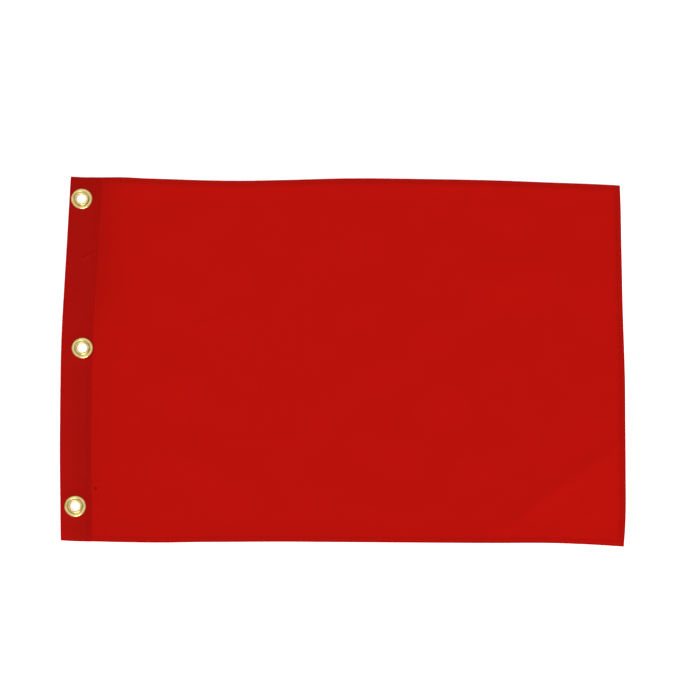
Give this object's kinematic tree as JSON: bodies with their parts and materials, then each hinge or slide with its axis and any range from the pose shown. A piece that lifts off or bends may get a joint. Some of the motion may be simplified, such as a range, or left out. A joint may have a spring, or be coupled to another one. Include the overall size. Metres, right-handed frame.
{
  "type": "signal flag",
  "caption": "Plain rectangular red signal flag: a hemmed nylon field, a folded heading along the hoist, and brass grommets for a halyard.",
  "frame": {"origin": "middle of the flag in plan, at the level that it rests on", "axes": "+X from the hoist edge to the fly edge, +Y from the bottom edge to the top edge, +Z out of the face with the grommet washers"},
  "size_m": [0.457, 0.305, 0.0046],
  "materials": {
    "field_nylon": "red woven nylon, satin",
    "heading_nylon": "red woven nylon, several plies, satin",
    "webbing": "woven polyester tape, matt",
    "thread": "twisted sewing thread",
    "brass": "stamped brass, bright"
  },
  "bodies": {
    "heading": {"heading_band": "heading_nylon", "heading_tape": "webbing", "field_hoist_margin": "field_nylon", "heading_stitching": "thread", "grommet_top": "brass", "grommet_middle": "brass", "grommet_bottom": "brass", "washer_top": "brass", "washer_middle": "brass", "washer_bottom": "brass"},
    "field_hoist_half": {"field_hoist_panel": "field_nylon", "top_hem_stitching": "thread", "bottom_hem_stitching": "thread"},
    "field_fly_half": {"field_fly_panel": "field_nylon", "fly_hem_stitching": "thread"}
  },
  "joints": [
    {"name": "heading_fold", "type": "hinge", "parent": "heading", "child": "field_hoist_half", "pos_m": [-0.1985, 0, 0.00363], "axis": [0, -1, 0], "range_deg": [0, 178]},
    {"name": "storage_fold", "type": "hinge", "parent": "field_hoist_half", "child": "field_fly_half", "pos_m": [-0.0385, 0, -0.0003], "axis": [0, 1, 0], "range_deg": [0, 178]}
  ]
}
